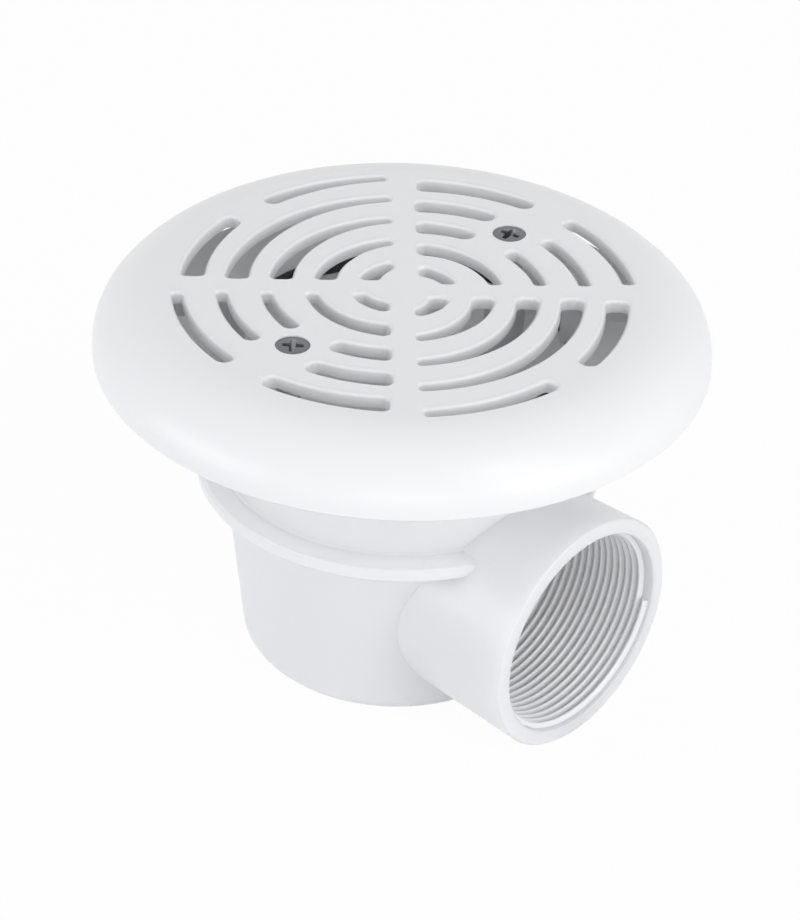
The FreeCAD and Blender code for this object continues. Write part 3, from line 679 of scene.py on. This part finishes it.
cross_arm, cross_width, cross_depth = 0.0031, 0.0013, 0.0024
for node, turn in (("cover_screw_left", 12.0), ("cover_screw_right", 38.0)):
    low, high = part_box(node)
    middle = ((low[0] + high[0]) / 2, (low[1] + high[1]) / 2)
    head = (high[0] - low[0]) / 2
    rim_z, dome, core = high[2] - 0.0003, 0.0003, 0.00206
    profile = [(0.00002, low[2])]
    profile += [(core * 0.6, low[2]), (core, low[2] + 0.0009), (core, rim_z - 0.0005 - (head - core))]
    profile += [(head, rim_z - 0.0005), (head, rim_z - 0.00012), (head - 0.00012, rim_z)]
    for step in range(1, 9):
        out = (head - 0.00012) * (1 - step / 8) + 0.00002 * step / 8
        profile.append((out, rim_z + dome * (1 - (out / head) ** 2)))
    blank = turned_piece(node + "_steel", profile, middle, 96)
    blank.data.materials.append(steel_painted_dark)
    outward(blank.data, 30)
    cutter = cross_cutter(middle, rim_z + dome, math.radians(turn), cross_arm, cross_width, cross_depth)
    mesh = cut_by(blank, cutter).data
    mesh.shade_smooth()
    mesh.set_sharp_from_angle(angle=math.radians(32))
    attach(blank, "root")
    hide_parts(node)

# -------------------------------------------------------- floor, light and camera
# A plain white floor that keeps a soft shadow, broad lights from the right, the left, the low front
# and the high right, and the camera at the photograph's height and side.

floor_mesh = bpy.data.meshes.new("floor")
floor_mesh.from_pydata([(-4, -4, 0), (4, -4, 0), (4, 4, 0), (-4, 4, 0)], [], [(0, 1, 2, 3)])
floor = bpy.data.objects.new("floor", floor_mesh)
bpy.context.scene.collection.objects.link(floor)
paper = bpy.data.materials.new("floor_paper")
paper.use_nodes = True
paper_nodes, paper_links = paper.node_tree.nodes, paper.node_tree.links
paper_nodes.clear()
paper_out = paper_nodes.new("ShaderNodeOutputMaterial")
paper_diffuse = paper_nodes.new("ShaderNodeBsdfDiffuse")
paper_diffuse.inputs["Color"].default_value = (0.86, 0.86, 0.87, 1)
paper_glow = paper_nodes.new("ShaderNodeEmission")
paper_glow.inputs["Color"].default_value = (1, 1, 1, 1)
paper_mix = paper_nodes.new("ShaderNodeMixShader")
paper_path = paper_nodes.new("ShaderNodeLightPath")
paper_seen = paper_nodes.new("ShaderNodeMath")
paper_seen.operation = "MAXIMUM"
paper_share = paper_nodes.new("ShaderNodeMath")
paper_share.operation = "MULTIPLY"
paper_share.inputs[1].default_value = 0.96
paper_links.new(paper_path.outputs["Is Camera Ray"], paper_seen.inputs[0])
paper_links.new(paper_path.outputs["Is Glossy Ray"], paper_seen.inputs[1])
paper_links.new(paper_seen.outputs[0], paper_share.inputs[0])
paper_links.new(paper_share.outputs[0], paper_mix.inputs[0])
paper_links.new(paper_diffuse.outputs[0], paper_mix.inputs[1])
paper_links.new(paper_glow.outputs[0], paper_mix.inputs[2])
paper_links.new(paper_mix.outputs[0], paper_out.inputs["Surface"])
floor_mesh.materials.append(paper)

world = bpy.data.worlds.new("studio")
bpy.context.scene.world = world
world.use_nodes = True
sky_nodes, sky_links = world.node_tree.nodes, world.node_tree.links
sky_nodes.clear()
sky_out = sky_nodes.new("ShaderNodeOutputWorld")
sky_room = sky_nodes.new("ShaderNodeBackground")
sky_room.inputs["Color"].default_value = (0.96, 0.98, 1.0, 1)
sky_room.inputs["Strength"].default_value = 0.64
sky_seen = sky_nodes.new("ShaderNodeBackground")
sky_seen.inputs["Color"].default_value = (1, 1, 1, 1)
sky_seen.inputs["Strength"].default_value = 1.0
sky_path = sky_nodes.new("ShaderNodeLightPath")
sky_glass = sky_nodes.new("ShaderNodeMath")
sky_glass.operation = "MAXIMUM"
sky_any = sky_nodes.new("ShaderNodeMath")
sky_any.operation = "MAXIMUM"
sky_mix = sky_nodes.new("ShaderNodeMixShader")
sky_links.new(sky_path.outputs["Is Glossy Ray"], sky_glass.inputs[0])
sky_links.new(sky_path.outputs["Is Transmission Ray"], sky_glass.inputs[1])
sky_links.new(sky_path.outputs["Is Camera Ray"], sky_any.inputs[0])
sky_links.new(sky_glass.outputs[0], sky_any.inputs[1])
sky_links.new(sky_any.outputs[0], sky_mix.inputs[0])
sky_links.new(sky_room.outputs[0], sky_mix.inputs[1])
sky_links.new(sky_seen.outputs[0], sky_mix.inputs[2])
sky_links.new(sky_mix.outputs[0], sky_out.inputs["Surface"])

camera_turn, camera_rise, camera_far, camera_roll, camera_lens = 42.38, 34.10, 0.861, 2.151, 120.05
sight = Vector((math.cos(math.radians(camera_turn)), math.sin(math.radians(camera_turn)), 0))
away = Vector((-sight.y, sight.x, 0))
ahead = away * math.cos(math.radians(camera_rise)) + Vector((0, 0, -math.sin(math.radians(camera_rise))))
above = sight.cross(ahead)
aim = sight * 0.00058 + Vector((0, 0, 0.0568))
roll = math.radians(camera_roll)
level_side = sight * math.cos(roll) + above * math.sin(roll)
level_up = above * math.cos(roll) - sight * math.sin(roll)
camera = bpy.data.objects.new("camera", bpy.data.cameras.new("camera"))
bpy.context.scene.collection.objects.link(camera)
camera.matrix_world = Matrix.Translation(aim - ahead * camera_far) @ Matrix(
    (level_side, level_up, -ahead)).transposed().to_4x4()
camera.data.sensor_width = 36
camera.data.lens = camera_lens
camera.data.clip_start = 0.01
camera.data.dof.use_dof = False
bpy.context.scene.camera = camera


def softbox(name, side, front, height, size, watts, colour=(1, 1, 1)):
    """A square light that looks at the drain; side and front are measured from the camera's view."""
    lamp = bpy.data.lights.new(name, "AREA")
    lamp.shape = "SQUARE"
    lamp.size = size
    lamp.energy = watts
    lamp.color = colour
    piece = bpy.data.objects.new(name, lamp)
    bpy.context.scene.collection.objects.link(piece)
    place = sight * side - away * front + Vector((0, 0, height))
    piece.location = place
    piece.rotation_euler = (Vector((0, 0, 0.06)) - place).to_track_quat("-Z", "Y").to_euler()


softbox("key_right", 0.95, 0.75, 0.40, 0.6, 3.3)
softbox("fill_left", -1.0, 0.4, 0.25, 0.7, 3.0, (0.98, 0.99, 1.0))
softbox("low_front", 0.1, 1.3, 0.30, 0.6, 1.3)
softbox("high_right", 0.65, 0.6, 1.0, 0.5, 1.6)

bpy.context.scene.view_settings.view_transform = "Standard"
